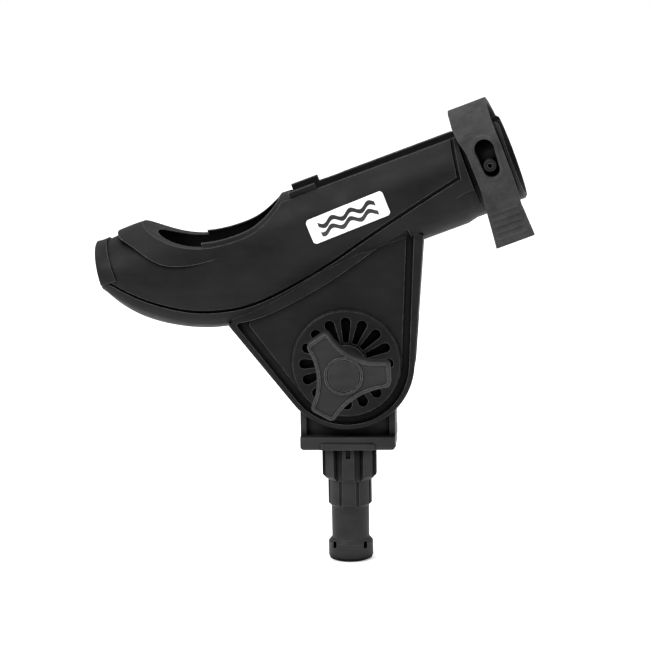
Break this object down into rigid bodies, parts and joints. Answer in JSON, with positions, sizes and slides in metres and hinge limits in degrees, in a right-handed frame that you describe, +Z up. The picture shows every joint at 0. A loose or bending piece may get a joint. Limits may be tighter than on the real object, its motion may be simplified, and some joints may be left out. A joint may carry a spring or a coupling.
{
  "type": "fishing rod holder",
  "caption": "Tilting boat rod holder: hooded cradle and slotted tube with a rubber strap, clamped by a three-lobed knob to a splined post.",
  "frame": {"origin": "on the post's axis, in the middle of the cylindrical foot that goes into the deck or rail socket", "axes": "+Z up along the post, +X towards the end where the rod leaves, -Y towards the knob"},
  "size_m": [0.214, 0.0736, 0.2296],
  "materials": {
    "black_nylon": "glass-filled nylon, fine moulded grain, low sheen",
    "grey_nylon": "charcoal nylon, smooth from the mould",
    "knob_nylon": "charcoal nylon, slightly worn edges",
    "strap_rubber": "dark grey rubber, matt with faint bloom",
    "acetal": "natural acetal, turned",
    "stainless": "plain stainless steel",
    "brass_insert": "turned brass",
    "label_film": "white film with a plain wave mark, no lettering"
  },
  "bodies": {
    "post": {"mounting_post": "grey_nylon", "near_tooth_disc": "grey_nylon", "far_tooth_disc": "grey_nylon", "pivot_sleeve": "acetal"},
    "cradle": {"cradle_body": "black_nylon", "pivot_bolt": "stainless", "bolt_washer": "stainless", "strap_stud": "black_nylon", "strap_hinge_pin": "stainless", "strap_pin_clip": "stainless", "near_label": "label_film", "far_label": "label_film"},
    "strap": {"rod_strap": "strap_rubber"},
    "clamp": {"knob_washer": "stainless"},
    "knob": {"knob_body": "knob_nylon", "knob_cap": "knob_nylon", "knob_insert": "brass_insert"}
  },
  "joints": [
    {"name": "tilt", "type": "hinge", "parent": "post", "child": "cradle", "pos_m": [0, 0, 0.0965], "axis": [0, 1, 0], "range_deg": [-50, 80]},
    {"name": "strap_swing", "type": "hinge", "parent": "cradle", "child": "strap", "pos_m": [0.07115, 0.0264, 0.1914], "axis": [-0.9385, 0, -0.3453], "range_deg": [0, 150], "deforming": ["rod_strap"]},
    {"name": "clamp_travel", "type": "slide", "parent": "cradle", "child": "clamp", "axis": [0, -1, 0], "range_m": [0, 0.0029]},
    {"name": "knob_turn", "type": "hinge", "parent": "clamp", "child": "knob", "pos_m": [0, -0.039, 0.0965], "axis": [0, -1, 0], "range_deg": [0, 720]}
  ],
  "couplings": [
    {"joint": "clamp_travel", "follows": "knob_turn", "m_per_rad": 0.00022457}
  ]
}
